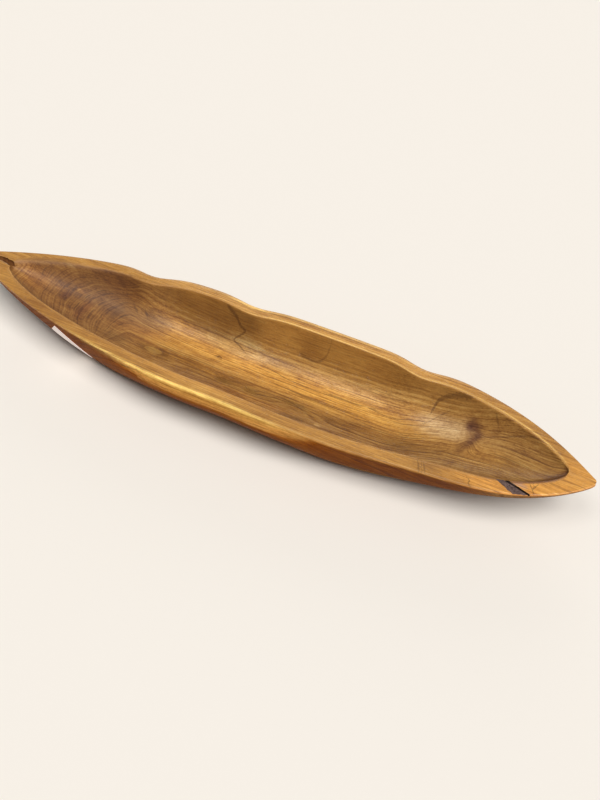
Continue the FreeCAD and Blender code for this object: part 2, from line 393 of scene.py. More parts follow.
def carving_waves(grid):
    """How far the carving lifts each point of the bowl's surface."""
    depth = HEIGHT - grid[..., 2]
    inner = np.zeros(grid.shape[:2])
    first = FOOT_STEPS + WALL_STEPS + SHOULDER_STEPS + LAND_STEPS + ROUNDING_STEPS + 1
    inner[:, first : first + 2 * HOLLOW_STEPS - 1] = 1
    waves = layered_noise(grid, CARVING_NOISE)
    return CARVING_HEIGHT * waves * inner * smooth_step(*CARVING_DEPTHS, depth)


def linear(red, green, blue):
    """A colour that is written as it shows on a screen, from 0 to 255, in the renderer's terms."""
    shown = [value / 255 for value in (red, green, blue)]
    return [part / 12.92 if part <= 0.04045 else ((part + 0.055) / 1.055) ** 2.4 for part in shown] + [1]


class Graph:
    """Short way to build a material's nodes: a socket given as an input is linked, a value is set."""

    def __init__(self, tree):
        self.tree = tree

    def add(self, kind, inputs=None, **settings):
        node = self.tree.nodes.new(kind)
        for name, value in settings.items():
            setattr(node, name, value)
        for name, value in (inputs or {}).items():
            if isinstance(value, bpy.types.NodeSocket):
                self.tree.links.new(value, node.inputs[name])
            else:
                node.inputs[name].default_value = value
        return node

    def surface(self, inputs, kind="BsdfPrincipled", output="OutputMaterial"):
        """Adds the shader that the material or the world ends in."""
        shader = self.add("ShaderNode" + kind, inputs)
        self.add("ShaderNode" + output, {"Surface": shader.outputs[0]})

    def math(self, operation, first, second=0.0, third=0.0):
        return self.add("ShaderNodeMath", {0: first, 1: second, 2: third}, operation=operation).outputs[0]

    def mix(self, share, first, second, blend="MIX"):
        inputs = {0: share, 6: first, 7: second}
        return self.add("ShaderNodeMix", inputs, data_type="RGBA", blend_type=blend).outputs[2]

    def between(self, value, low, high, start=0.0, end=1.0):
        """Smooth step of a value between two limits."""
        inputs = {"Value": value, "From Min": low, "From Max": high, "To Min": start, "To Max": end}
        return self.add("ShaderNodeMapRange", inputs, interpolation_type="SMOOTHSTEP").outputs[0]

    def attribute(self, name, output="Fac"):
        return self.add("ShaderNodeAttribute", attribute_name=name).outputs[output]

    def noise(self, scales, detail, roughness):
        """Noise by the place along and across the grain, times a scale for each direction."""
        place = self.attribute("grain", "Vector")
        scaled = self.add("ShaderNodeVectorMath", {0: place, 1: scales}, operation="MULTIPLY").outputs[0]
        inputs = {"Vector": scaled, "Scale": 1.0, "Detail": detail, "Roughness": roughness}
        return self.add("ShaderNodeTexNoise", inputs, noise_dimensions="3D").outputs["Fac"]

    def fibres(self, along, across, detail=1.0, roughness=0.5):
        return self.noise((along, across, across), detail, roughness)

    def bands(self, value, scale, detail):
        """Noise that runs along one value only, so that it is constant along each growth ring."""
        inputs = {"W": value, "Scale": scale, "Detail": detail}
        return self.add("ShaderNodeTexNoise", inputs, noise_dimensions="1D").outputs["Fac"]

    def ramp(self, value, stops):
        node = self.add("ShaderNodeValToRGB", {"Fac": value})
        elements = node.color_ramp.elements
        while len(elements) < len(stops):
            elements.new(0.5)
        for element, (place, colour) in zip(elements, stops):
            element.position = place
            element.color = colour
        return node.outputs["Color"]


def new_material(name):
    material = bpy.data.materials.new(name)
    material.use_nodes = True
    material.node_tree.nodes.clear()
    return material, Graph(material.node_tree)


# Layers of the wood's tone, with their weights in straight and in figured grain at the end.
# Along the rings: scale, detail
RING_LAYERS = ((0.16, 1.0, 0.35, 0.15), (0.55, 2.0, 0.5, 0.28), (1.5, 1.0, 0.4, 0.6))
# Along the fibres: scale along and across, detail, roughness. The first and last give relief
FIBRE_LAYERS = (
    (0.02, 0.55, 3.0, 0.7, 0.8, 0.2),
    (0.06, 1.3, 2.0, 0.6, 0.7, 0.35),
    (0.02, 0.06, 2.0, 0.5, 0.4, 0.4),
    (0.07, 0.1, 3.0, 0.6, 0.3, 0.75),
    (0.36, 0.5, 2.0, 0.6, 0.3, 0.5),
)
# Tones from dark to light, and the mean one's place
TONES = (
    (0.1, linear(112, 66, 28)),
    (0.38, linear(160, 106, 46)),
    (0.62, linear(198, 141, 66)),
    (0.9, linear(226, 174, 92)),
)
MEAN_TONE = 0.56
# Dark late wood: shift, scale and detail of its bands, and the scales of where they show
LATE_WOOD = linear(104, 60, 26)
LATE_BANDS = (60.0, 0.8, 1.0)
LATE_LIMITS = (0.41, 0.34)
LATE_STRENGTH = 0.5
LATE_PLACES = (0.011, 0.1)
LATE_PLACE_LIMITS = (0.46, 0.6)
# Pores, which are short dashes
PORE = linear(92, 52, 22)
PORE_SCALE = (0.13, 2.2)
PORE_LIMITS = (0.36, 0.27)
PORE_STRENGTH = 0.4
# Drawn lines: how they wander and where they fade in, in half-widths
DRAWN_LINE = linear(74, 42, 22)
WANDER_SCALE = 0.5
WANDER = 0.8
DRAWN_LIMITS = (1.3, 0.4)
# How far each stands out in the relief
PORE_RELIEF = -0.7
FIBRE_RELIEF = 0.6
GRAIN_RELIEF = 1.6
# Roughness between the fibres, and what the dull left third adds
FIBRE_LIMITS = (0.2, 0.8)
FIBRE_ROUGHNESS = 0.06
DULLNESS = 0.26


def teak(name, gloss, rough, flaws):
    """Oiled teak: growth rings by the ring attribute, with fibres, pores and hairlines."""
    material, graph = new_material(name)
    ring = graph.attribute("ring")
    contrast = graph.attribute("contrast")
    figure = graph.attribute("figure")
    layers = [(graph.bands(ring, *layer[:2]), *layer[2:]) for layer in RING_LAYERS]
    layers += [(graph.fibres(*layer[:4]), *layer[4:]) for layer in FIBRE_LAYERS]
    total = 0.0
    for layer, plain, figured in layers:
        share = graph.math("MULTIPLY_ADD", figure, figured - plain, plain)
        total = graph.math("MULTIPLY_ADD", graph.math("SUBTRACT", layer, 0.5), share, total)
    wood = graph.ramp(graph.math("MULTIPLY_ADD", total, contrast, MEAN_TONE), TONES)
    shift, scale, detail = LATE_BANDS
    late = graph.between(graph.bands(graph.math("ADD", ring, shift), scale, detail), *LATE_LIMITS)
    present = graph.between(graph.fibres(*LATE_PLACES), *LATE_PLACE_LIMITS)
    late = graph.math("MULTIPLY", late, present)
    late = graph.math("MULTIPLY", late, graph.math("MULTIPLY", contrast, LATE_STRENGTH))
    wood = graph.mix(late, wood, LATE_WOOD)
    pores = graph.between(graph.fibres(*PORE_SCALE), *PORE_LIMITS)
    dashes = graph.math("MULTIPLY", pores, graph.math("SUBTRACT", 1.0, figure))
    wood = graph.mix(graph.math("MULTIPLY", dashes, PORE_STRENGTH), wood, PORE)
    wood = graph.mix(1.0, wood, graph.attribute("tint", "Color"), "MULTIPLY")
    if flaws:
        wander = graph.fibres(WANDER_SCALE, WANDER_SCALE, 2.0)
        wander = graph.math("MULTIPLY_ADD", wander, 2 * WANDER, -WANDER)
        distance = graph.math("ABSOLUTE", graph.math("ADD", graph.attribute("line"), wander))
        drawn = graph.math("MULTIPLY", graph.between(distance, *DRAWN_LIMITS), graph.attribute("drawn"))
        wood = graph.mix(drawn, wood, DRAWN_LINE)
    fibre = layers[len(RING_LAYERS)][0]
    grain = layers[-1][0]
    relief = graph.math("MULTIPLY_ADD", dashes, PORE_RELIEF, graph.math("MULTIPLY", fibre, FIBRE_RELIEF))
    relief = graph.math("MULTIPLY_ADD", grain, GRAIN_RELIEF, relief)
    bump = graph.add("ShaderNodeBump", {"Height": relief, "Strength": 0.6, "Distance": 0.2 * MM})
    roughness = graph.between(fibre, *FIBRE_LIMITS, rough + FIBRE_ROUGHNESS, rough - FIBRE_ROUGHNESS)
    roughness = graph.math("MULTIPLY_ADD", graph.attribute("dull"), DULLNESS, roughness)
    look = {"Base Color": wood, "Roughness": roughness, "Normal": bump.outputs[0]}
    graph.surface({**look, "IOR": 1.48, "Specular IOR Level": gloss})
    return material


def flaw_material(name, dark, pale, scales):
    """Rough matt surface inside a flaw, mottled between two colours."""
    material, graph = new_material(name)
    mottle = graph.noise(scales, 3.0, 0.6)
    colour = graph.ramp(mottle, ((0.35, dark), (0.62, pale)))
    bump = graph.add("ShaderNodeBump", {"Height": mottle, "Strength": 0.7, "Distance": 0.6 * MM})
    look = {"Base Color": colour, "Roughness": 0.8, "Normal": bump.outputs[0]}
    graph.surface({**look, "Specular IOR Level": 0.2})
    return material


# Swellings of the growth rings: place and reach along and across, height
FIGURES = (
    (-120, -10, 20, 6, 6),
    (-35, -8, 9, 4, 3),
    (-2, -8, 7, 4, 2.5),
    (52, -8, 30, 6, -4),
    (226, 17, 8, 11, -5),
)

# Lines in the wood: strength, half-width, and points along and across
LINES = (
    (0.55, 0.7, (
        (-62, 52.5), (-50, 49), (-43.5, 45.8), (-36.7, 44), (-42, 41.5), (-48, 38), (-40, 35), (-32, 32),
    )),
    (0.35, 0.9, ((57.7, 52), (56, 49.5), (50, 46), (43, 45), (33, 45.7), (27, 46.7))),
    (0.5, 1.2, ((214, 46), (200, 46.3), (187, 44), (182, 41), (180, 36))),
    (0.35, 0.6, ((177, 24), (187, 33), (195, 38))),
    (0.6, 0.9, ((145, 20.5), (147.5, 20.4))),
    (0.8, 1.1, ((-55.6, 17.8), (-53.6, 17.8))),
    (0.45, 1.2, ((-153, 28.5), (-149.5, 25.5))),
    (0.4, 1.2, ((-167, 28), (-162, 25))),
    (0.35, 0.7, ((242, 39), (248, 33))),
    (0.55, 0.55, ((-10, 26), (7, 25), (23, 22), (40, 21.3), (57, 20.8), (90, 21.7), (120, 22))),
    (0.5, 0.5, ((116, 23.2), (135, 20.5), (147, 20), (153, 21.5), (165, 24.5), (178, 26))),
    (0.4, 0.55, ((13, 11.3), (50, 11), (85, 11.2), (110, 10), (130, 7.5), (150, 6), (165, 8), (182, 13))),
    (0.4, 0.45, ((45, 22.8), (80, 23.4), (105, 22.9), (126, 24.6))),
    (0.35, 0.45, ((36, 7.3), (66, 8), (100, 6.4), (124, 3.5), (150, 2.4), (170, 4.2), (186, 9))),
    (0.35, 0.45, ((-60, 12), (-30, 13.2), (0, 12.3))),
    (0.3, 0.8, ((-110, -3.5), (-85, -3.1), (-60, -3.4), (-43, -2), (-27, -1.2))),
    (0.35, 0.7, ((30, -2), (46, -4.5), (60, -9), (70, -12))),
    (0.35, 0.6, ((234, 24.5), (250, 26.5), (270, 27.6), (284, 26), (297, 22))),
    (0.3, 0.7, ((162, -12), (180, -10.5), (196, -6), (209, 1.5))),
    (0.3, 0.6, ((165, -2.3), (187, -0.7), (195, 3), (199, 7))),
    (0.45, 1.0, ((199.5, -53), (203, -60))),
    (0.4, 1.0, ((204.5, -52), (208.5, -59))),
    (0.5, 0.7, ((246, -48.5), (248.5, -51), (248, -53.5), (251, -56))),
    (0.55, 0.5, ((297.2, -28.6), (300, -32.5), (301.1, -33.8), (304.7, -39))),
    (0.8, 0.8, ((303.6, -29.2), (303, -31.2))),
)
# How near a line counts, the distance that stands for none, and its fade at the ends
LINE_REACH = 5
NO_LINE = 20.0
LINE_FADE = 3
LINE_OVERHANG = 1.5
# The seam between the far rim's land and its shoulder
SEAM_INSET = 6.2
SEAM_HALF = 0.5
SEAM_STRENGTH = 0.45
SEAM_NEARNESS = 3
SEAM_RUN = (20, 105)

# Tints of the outer wall by the normal's upward part: own tone and painted shade, painted shade below,
# painted light
OUTER_TONE_AND_SHADE_TINT = (1.24, 0.72, 0.2)
OUTER_LIMITS = (-0.02, -0.18)
UNDER_SHADE_TINT = (0.7, 0.7, 0.7)
UNDER_LIMITS = (0, -0.4)
LIT_FACE_TINT = (1.75, 1.7, 1.9)
FACE_LIMITS = (0.7, 0.1)
FACE_FOOT = 30
# The shaded wall ends at the right, and beside the label it goes by depth
OUTER_END = (236, 282)
BESIDE_LABEL = ((-172, -158), (-95, -120))
BESIDE_LABEL_DEPTHS = (7, 11)
# The shade in the hollow's right end, by the distance from the near edge
END_WALL_TINT = (0.42, 0.3, 0.2)
END_WALL_EDGE = (13, 3)
END_WALL_RUN = (230, 310)
END_WALL_WIDENING = 6
END_WALL_WIDENING_RUN = (280, 315)
# Painted highlight along the near rim's arris
ARRIS_HIGHLIGHT_TINT = (2.2, 3.1, 4.0)
ARRIS_ACROSS = (0.1, 1.2)
ARRIS_DEPTHS = (6, 2)
ARRIS_HIGHLIGHT_RUN = (-58, 118)
# Painted highlights on the far rim's shoulder and along its inner edge
FAR_SHOULDER_HIGHLIGHT_TINT = (1.6, 1.9, 2.0)
FAR_SHOULDER_INSET = 4.5
FAR_SHOULDER_DEPTH = 5
INNER_EDGE_HIGHLIGHT_TINT = (2, 2.6, 3.6)
INNER_EDGE_ACROSS = (-0.2, 0.7)
INNER_EDGE_DEPTH = 3
INNER_EDGE_RUN = (-60, 10)

# Tints of parts of the hollow: place along and across, reach along and across, factor
ZONES = (
    # Partly the wood's own gold, partly painted light, on the far half of the floor
    (22, 18, 130, 14, (1.3, 1.3, 1.12)),
    (108, 18, 50, 8, (1.1, 1.14, 1.14)),
    # Partly the wood's own darker tone, partly painted shade, on the near half of the floor
    (20, -19, 220, 21, (0.62, 0.6, 0.6)),
    (90, 46, 125, 10, (0.86, 0.9, 0.95)),
    (-85, 45, 72, 9, (0.55, 0.54, 0.57)),
    (-240, 5, 88, 90, (0.52, 0.46, 0.44)),
    (-190, 37, 30, 8, (0.72, 0.64, 0.58)),
    (-185, 21, 52, 12, (0.74, 0.71, 0.66)),
    (-137, 26, 17, 9, (0.68, 0.65, 0.6)),
    (-240, 7, 20, 12, (0.8, 0.74, 0.58)),
    (-279, 3, 15, 13, (1.16, 1.1, 0.94)),
    (-42, 8.5, 50, 6.5, (0.8, 0.77, 0.8)),
    (-68, -5, 32, 4.5, (1.22, 1.22, 1.02)),
    (163, -8, 18, 9, (0.84, 0.84, 0.84)),
    # Painted sheen: the light's reflection along the foot of the far wall
    (-30, 33, 60, 7, (1.06, 1.22, 1.7)),
    (5, -20, 45, 4.5, (1.25, 1.18, 0.98)),
    # Painted sheen reaching up the far wall, and a pale spot of it
    (110, 36, 58, 6.5, (1.36, 1.54, 2.0)),
    (-26, 37, 14, 3, (1.2, 1.38, 1.7)),
    (243, 4, 20, 11, (1.3, 1.33, 1.3)),
    (258, 0, 86, 90, (0.81, 0.84, 0.96)),
    (-184, 14, 5, 12, (0.75, 0.72, 0.75)),
    (-165, -15, 12, 6, (0.75, 0.72, 0.7)),
    (-35, -8.3, 9, 3.5, (0.78, 0.8, 0.7)),
    (-2, -8, 8, 3.5, (0.8, 0.82, 0.72)),
    (48, -6, 14, 3.5, (0.78, 0.78, 0.7)),
    (88, -8, 9, 3.5, (0.8, 0.78, 0.74)),
    (53, -23, 14, 3.5, (0.72, 0.7, 0.6)),
    (39, 49, 13, 5, (0.86, 0.82, 0.78)),
    (-28, 44, 12, 5, (0.84, 0.82, 0.8)),
    (-120, -9, 18, 5.5, (0.82, 0.82, 0.74)),
    (80, -21.4, 2.6, 1.4, (1.6, 1.9, 2.6)),
    (-250, 29, 7, 2.5, (1.1, 1.25, 1.6)),
    (-295, 8, 9, 4.5, (1.2, 1.25, 1.6)),
    (-252.5, 8, 2.4, 1.6, (1.5, 1.6, 1.9)),
    (-230, 15.5, 4.5, 1.8, (1.5, 1.6, 1.8)),
    (-241, 4.5, 4.5, 6, (0.68, 0.56, 0.7)),
    (-215, -1, 5, 14, (0.85, 0.74, 0.78)),
    (-152, 4, 30, 11, (0.86, 0.79, 0.67)),
    # Painted sheen: the whitish reflection in the right part of the hollow
    (196, 25, 24, 9, (1.5, 1.95, 3.6)),
)
# Depths at which these zones come in and the rim's go out, and how their outlines wander
ZONE_DEPTHS = (0.3, 1.5)
RIM_ZONE_DEPTHS = (8, 3)
WANDER_ALONG = ((3, (11, 5, 9), 41),)
WANDER_ACROSS = ((2.2, (38, 9, 14), 42), (0.7, (9, 4, 6), 43))

# How much the hollow is mottled at the right and the left
MOTTLING = (0.05, 0.13)
MOTTLING_RUN = (60, -60)
MOTTLED_CHANNELS = (0.8, 1, 1.4)
MOTTLING_NOISE = ((1, (26, 9, 12), 61), (0.5, (9, 4, 5), 62))

# The dark kidney-shaped mark at the right: points along and across, half-width, and tone
KIDNEY = ((222, 32), (227.5, 30), (230.5, 26), (229, 20.5), (225, 13), (220.5, 6))
KIDNEY_HALF = 5
KIDNEY_FADE = 1.6
KIDNEY_NOISE = ((2.2, (6, 3, 6), 51),)
KIDNEY_TINT = (0.42, 0.33, 0.42)
KIDNEY_NEAR_SHARE = 0.55
KIDNEY_NEAR_RUN = (6, 18)

# The same for the rim's flat land
RIM_ZONES = (
    # Painted highlight: light reflected by the near rim's land
    (-22, -50, 76, 14, (1.3, 1.34, 1.4)),
    (62, -50, 18, 14, (0.92, 0.9, 0.84)),
    (148, -50, 24, 14, (1.2, 1.24, 1.3)),
    (206, -46, 16, 14, (0.8, 0.8, 0.88)),
    (282, -38, 48, 20, (1.5, 1.42, 1.28)),
    (289, -35.4, 6, 2.4, (0.72, 0.82, 2.2)),
    (-215, -40, 50, 20, (0.85, 0.82, 0.85)),
    (338, -4, 22, 22, (1.3, 1.24, 1.15)),
    (95, 58, 125, 14, (1.2, 1.22, 1.25)),
    (-85, 56, 62, 16, (1.26, 1.34, 1.6)),
)


def smooth_path(points, pieces=6):
    """A smooth curve through the points, as more points (Catmull-Rom)."""
    nodes = [np.array(point, float) for point in points]
    nodes = [2 * nodes[0] - nodes[1]] + nodes + [2 * nodes[-1] - nodes[-2]]
    path = []
    for before, start, end, after in zip(nodes, nodes[1:], nodes[2:], nodes[3:]):
        for step in range(pieces):
            part = step / pieces
            path.append(
                start
                + 0.5 * part * (end - before)
                + part ** 2 * (before - 2.5 * start + 2 * end - 0.5 * after)
                + part ** 3 * (-0.5 * before + 1.5 * start - 1.5 * end + 0.5 * after)
            )
    return np.array(path + [nodes[-2]])


def nearest_on(points, path):
    """Distance from a path seen from above, and the side of it: 1 to its left, -1 to its right."""
    nearest = np.full(len(points), np.inf)
    side = np.ones(len(points))
    for start, end in zip(path, path[1:]):
        run = end - start
        offset = points[:, :2] - start
        part = np.clip(offset @ run / (run @ run), 0, 1)
        gap = np.linalg.norm(offset - part[:, None] * run, axis=1)
        turned = run[0] * offset[:, 1] - run[1] * offset[:, 0]
        closer = gap < nearest
        nearest = np.where(closer, gap, nearest)
        side = np.where(closer, np.where(turned < 0, -1, 1), side)
    return nearest, side


def line_fields(points):
    """Signed distance from the nearest line, in its half-widths, and how strongly it is drawn."""
    signed = np.full(len(points), NO_LINE)
    drawn = np.zeros(len(points))
    nearest = np.full(len(points), float(LINE_REACH))
    for strength, half, line in LINES:
        path = smooth_path(line)
        low, high = path.min(0) - LINE_REACH, path.max(0) + LINE_REACH
        close = np.flatnonzero(np.all((points[:, :2] > low) & (points[:, :2] < high), 1))
        gap, side = nearest_on(points[close], path)
        better = gap < nearest[close]
        chosen = close[better]
        nearest[chosen] = gap[better]
        signed[chosen] = (side * gap)[better] / half
        gaps = [np.linalg.norm(points[chosen, :2] - end, axis=1) for end in (path[0], path[-1])]
        ends = np.minimum(*gaps)
        drawn[chosen] = strength * smooth_step(0, LINE_FADE, ends + LINE_OVERHANG * half)
    x, y, z = points.T
    across = y - (hull_breadth("far", x) - SEAM_INSET)
    on_seam = (np.abs(across) < SEAM_NEARNESS) & (z > HEIGHT - 2)
    signed = np.where(on_seam, across / SEAM_HALF, signed)
    drawn = np.where(on_seam, SEAM_STRENGTH * plateau(x, *SEAM_RUN), drawn)
    return signed, drawn


# The grain's bend at the right: its rise towards +Y, its fall, and its borders across
GRAIN_RISE_RUN = (146, 214)
GRAIN_RISE = 12
GRAIN_FALL_RUN = (250, 325)
GRAIN_FALL = 3
GRAIN_FALL_INSIDE = 15
BEND_BORDERS = ((44, 24), (-38, -12))


def grain_places(points):
    """Places along the grain, across it and above the floor of the hollow, in millimetres."""
    x, y, z = points.T
    inside = is_inside(points)
    fall = GRAIN_FALL + GRAIN_FALL_INSIDE * inside
    lifted = smooth_step(*GRAIN_RISE_RUN, x) * GRAIN_RISE - smooth_step(*GRAIN_FALL_RUN, x) * fall
    for border in BEND_BORDERS:
        lifted = lifted * smooth_step(*border, y)
    rise = z - (HEIGHT - hollow_depth(x)) * inside
    return np.stack([x, y - lifted, rise], 1)


# Growth rings: millimetres across them for one across the bowl and for one upwards
RING_ACROSS = 0.5
RING_UP = 0.32
# At the left they are arcs: the same along and upwards, and where the count starts
ARC_ALONG = 0.32
ARC_UP = 0.08
ARC_START = -168
ARC_COUNT = 8
# How they sweep back at either side: start, direction, width, height, power
ARC_SWEEPS = ((12, 1, 30, 52, 3.2), (-3, -1, 20, 4, 2))
ARC_SWEEP_SHARE = 0.5
# Where the rings give way to the arcs, and how that border slants
ARC_BORDER = (-150, -188)
ARC_SLANT = 0.35
ARC_SLANT_START = 12
RING_NOISE = ((1.8, (150, 30, 36), 11), (0.8, (50, 12, 18), 12), (0.3, (16, 6, 8), 13))


def ring_value(points):
    """A value that is constant along each growth ring, in millimetres across the rings."""
    x, y, _ = points.T
    _, level, rise = grain_places(points).T
    inside = is_inside(points)
    middle = RING_ACROSS * level + RING_UP * rise
    swept = 0
    for start, direction, width, height, power in ARC_SWEEPS:
        swept = swept + height * (np.maximum(0, (y - start) * direction) / width) ** power
    left = ARC_ALONG * (ARC_START - x) + ARC_SWEEP_SHARE * swept + ARC_UP * rise + ARC_COUNT
    slanted = x - ARC_SLANT * np.maximum(0, y - ARC_SLANT_START)
    to_left = smooth_step(*ARC_BORDER, slanted) * inside
    ring = middle * (1 - to_left) + left * to_left
    for along, across, run, spread, height in FIGURES:
        ring = ring + height * inside * np.exp(-(((x - along) / run) ** 2) - ((y - across) / spread) ** 2)
    return ring + layered_noise(points, RING_NOISE)


# Where the far rim's inner edge is worn, and how the tones fade over it, each with what wear adds
WORN_EDGE_RUN = (-222, -268)
FADE_START = (0.5, 7)
FADE_BREADTH = (2, 8)
FLOOR_MARGIN = 2


def worn_edge(points):
    """1 where the rim's inner edge is worn away, at the left of the far side."""
    return smooth_step(*WORN_EDGE_RUN, points[:, 0]) * (points[:, 1] > 0)


def is_inside(points):
    """1 in the hollow, 0 outside, with a short fade across the rim's inner edge."""
    x, y, z = points.T
    breadth = np.where(y < 0, hollow_breadth("near", x), hollow_breadth("far", x))
    wear_and_highlight = worn_edge(points)
    beyond = np.abs(y) - breadth
    start = FADE_START[0] + FADE_START[1] * wear_and_highlight
    fade = FADE_BREADTH[0] + FADE_BREADTH[1] * wear_and_highlight
    return smooth_step(0, 1, (start - beyond) / fade) * (z > HEIGHT - hollow_depth(x) - FLOOR_MARGIN)


def tinted(tint, weight, factor):
    """The tint, times a colour factor where the weight is 1."""
    return tint * (1 + weight[:, None] * (np.array(factor) - 1))


def zone_tint(tint, points, zones, presence):
    """The tint, times each zone's colour factor inside its uneven outline."""
    x = points[:, 0] + layered_noise(points, WANDER_ALONG)
    y = points[:, 1] + layered_noise(points, WANDER_ACROSS)
    for along, across, run, spread, factor in zones:
        tint = tinted(tint, plateau(x, along, run) * plateau(y, across, spread) * presence, factor)
    return tint


def wall_parts(points, facing_up, inside):
    """Parts of the outer wall, each as its share at every point and its colour factor: own tone with
    painted shade, painted light on the upward face, and painted shade below.
    """
    x, y, z = points.T
    near = y < 0
    outside = 1 - inside
    run_in, run_out = BESIDE_LABEL
    beside_label = smooth_step(*run_in, x) * smooth_step(*run_out, x) * near
    by_depth = smooth_step(*BESIDE_LABEL_DEPTHS, HEIGHT - z)
    # The outside's own darker tone with painted shade where the wall faces sideways, and by depth beside
    # the label
    tone_and_shade = np.where(beside_label > 0, by_depth, smooth_step(*OUTER_LIMITS, facing_up))
    tone_and_shade = tone_and_shade * outside * (1 - smooth_step(*OUTER_END, x) * near)
    # Painted light on the near wall's upward face
    face = smooth_step(*FACE_LIMITS, facing_up) * (1 - tone_and_shade) * outside * near * (z > FACE_FOOT)
    # Painted shade where the wall faces down
    under = smooth_step(*UNDER_LIMITS, facing_up) * outside
    return (tone_and_shade, OUTER_TONE_AND_SHADE_TINT), (face, LIT_FACE_TINT), (under, UNDER_SHADE_TINT)


def rim_parts(points, inside):
    """The same for the rim: painted highlights on its near arris, its far shoulder and its far inner edge.
    """
    x, y, z = points.T
    depth = HEIGHT - z
    outer = np.where(y < 0, hull_breadth("near", x), hull_breadth("far", x))
    inset, reach = ARRIS_ACROSS
    # Painted highlight along the near arris
    arris = np.exp(-(((outer - np.abs(y) - inset) / reach) ** 2)) * smooth_step(*ARRIS_DEPTHS, depth)
    arris_highlight = arris * (y < 0) * plateau(x, *ARRIS_HIGHLIGHT_RUN)
    # Painted highlight on the far shoulder
    wear_and_highlight = smooth_step(outer - SEAM_INSET, outer - FAR_SHOULDER_INSET, y) * plateau(x, *SEAM_RUN)
    wear_and_highlight = wear_and_highlight * (1 - inside) * (depth < FAR_SHOULDER_DEPTH)
    inset, reach = INNER_EDGE_ACROSS
    # Painted highlight along the far rim's inner edge
    line = np.exp(-(((hollow_breadth("far", x) - y - inset) / reach) ** 2))
    line = line * (depth < INNER_EDGE_DEPTH) * smooth_step(*INNER_EDGE_RUN, x) * (y > 0)
    return (arris_highlight, ARRIS_HIGHLIGHT_TINT), (wear_and_highlight, FAR_SHOULDER_HIGHLIGHT_TINT), (line, INNER_EDGE_HIGHLIGHT_TINT)


def hollow_parts(points, inside):
    """The same for the hollow: the shade in its right end, and the kidney-shaped mark."""
    x, y, _ = points.T
    from_edge = hollow_breadth("near", x) + y - END_WALL_WIDENING * smooth_step(*END_WALL_WIDENING_RUN, x)
    end_wall = smooth_step(*END_WALL_EDGE, from_edge) * inside * smooth_step(*END_WALL_RUN, x)
    away = nearest_on(points, smooth_path(KIDNEY))[0] + layered_noise(points, KIDNEY_NOISE)
    along_it = KIDNEY_NEAR_SHARE + (1 - KIDNEY_NEAR_SHARE) * smooth_step(*KIDNEY_NEAR_RUN, y)
    kidney = smooth_step(KIDNEY_FADE * KIDNEY_HALF, 0, away) * inside * along_it
    return (end_wall, END_WALL_TINT), (kidney, KIDNEY_TINT)


def tint_values(points, facing_up):
    """The colour factor that the wood's own tone is multiplied by at each point, painted light and shade
    among its parts.
    """
    x, _, z = points.T
    depth = HEIGHT - z
    inside = is_inside(points)
    tint = np.ones((len(points), 3))
    parts = wall_parts(points, facing_up, inside) + rim_parts(points, inside) + hollow_parts(points, inside)
    for weight, factor in parts:
        tint = tinted(tint, weight, factor)
    right, left = MOTTLING
    mottle = layered_noise(points, MOTTLING_NOISE) * inside
    mottle = mottle * (right + (left - right) * smooth_step(*MOTTLING_RUN, x))
    tint = tint * (1 + mottle[:, None] * np.array(MOTTLED_CHANNELS))
    sunk = np.maximum(smooth_step(*ZONE_DEPTHS, depth), worn_edge(points)) * inside
    tint = zone_tint(tint, points, ZONES, sunk)
    return zone_tint(tint, points, RIM_ZONES, (1 - inside) * smooth_step(*RIM_ZONE_DEPTHS, depth))


# Where the rings show instead of straight fibres, and how much
FIGURED = (((-165, -205), (-285, -250), 1), ((185, 215), (262, 232), 0.8))
# What the markings lose on the steep far wall and outside the hollow
STEEP_RUN = (34, 48)
STEEP_LOSS = 0.45
OUTSIDE_LOSS = 0.25
DULL_RUN = (-105, -155)


def figure_values(points):
    """How much the rings show, how strong all markings are, and how dull the wood is."""
    x, y, _ = points.T
    inside = is_inside(points)
    figure = 0
    for run_in, run_out, strength in FIGURED:
        shown = smooth_step(*run_in, x) * inside * smooth_step(*run_out, x)
        figure = np.maximum(figure, strength * shown)
    left = smooth_step(*FIGURED[0][0], x) * inside
    steep = smooth_step(*STEEP_RUN, y) * inside * (1 - left)
    contrast = (1 - STEEP_LOSS * steep) * (1 - OUTSIDE_LOSS * (1 - inside))
    return figure, contrast, smooth_step(*DULL_RUN, x) * inside


# The field that each kind of attribute keeps its values in
FIELDS = {"FLOAT": "value", "FLOAT_VECTOR": "vector", "FLOAT_COLOR": "color"}


def set_attribute(mesh, name, values, kind="FLOAT"):
    attribute = mesh.attributes.new(name, kind, "POINT")
    attribute.data.foreach_set(FIELDS[kind], values.astype(np.float32).ravel())


def mark_wood(piece):
    """Writes what the wood's material reads at each point of the mesh."""
    mesh = piece.data
    flat = np.empty(len(mesh.vertices) * 3, np.float32)
    mesh.vertices.foreach_get("co", flat)
    points = flat.reshape(-1, 3).astype(float) / MM
    signed, drawn = line_fields(points)
    figure, contrast, dull = figure_values(points)
    set_attribute(mesh, "grain", grain_places(points), "FLOAT_VECTOR")
    values = {"ring": ring_value(points), "line": signed, "drawn": drawn}
    values.update(figure=figure, contrast=contrast, dull=dull)
    for name, value in values.items():
        set_attribute(mesh, name, value)
    mesh.vertices.foreach_get("normal", flat)
    tint = tint_values(points, flat.reshape(-1, 3)[:, 2])
    set_attribute(mesh, "tint", np.insert(tint, 3, 1, axis=1), "FLOAT_COLOR")


# The split in the left tip: place along, middle across, half-width, depth
SPLIT = (
    (-301, -0.2, 3.4, 5.5),
    (-308, 0.8, 3.4, 5.5),
    (-316, 1.8, 3.2, 5.5),
    (-324, 1.8, 2.3, 5),
    (-334, 2.0, 1.2, 4),
    (-345, 2.3, 0.15, 2),
)
